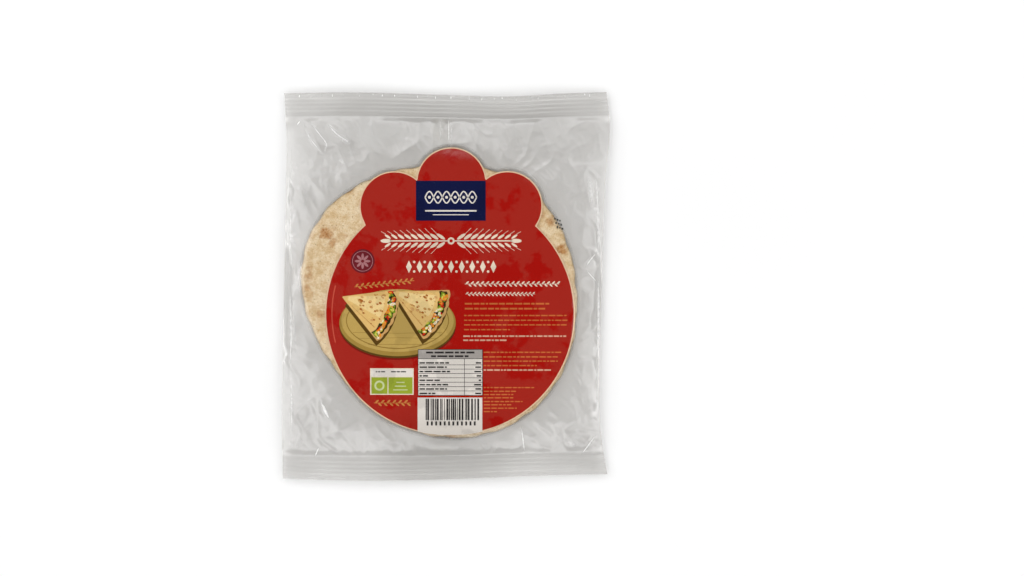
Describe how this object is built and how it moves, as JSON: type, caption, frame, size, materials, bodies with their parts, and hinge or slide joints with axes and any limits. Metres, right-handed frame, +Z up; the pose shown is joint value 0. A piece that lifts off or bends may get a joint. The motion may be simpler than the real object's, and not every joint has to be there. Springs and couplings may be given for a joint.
{
  "type": "pack of spelt piadina",
  "caption": "Sealed clear flow pack of round spelt flatbreads under a printed card, lying on its back with the front up.",
  "frame": {"origin": "on the flat underside of the pack, under the middle of its outline", "axes": "+Z up, out of the pack's front; +Y from its bottom seal to its top seal; +X to its right as the front is read"},
  "size_m": [0.1934, 0.2294, 0.0121],
  "materials": {
    "clear_film": "clear, thin and glossy, with fine creases",
    "bread": "dry, matt and floury, with toasted spots and fine bran flecks",
    "printed_card": "thin coated card with a printed red field and a bare cream edge"
  },
  "bodies": {
    "root": {"bag": "clear_film"}
  },
  "joints": []
}
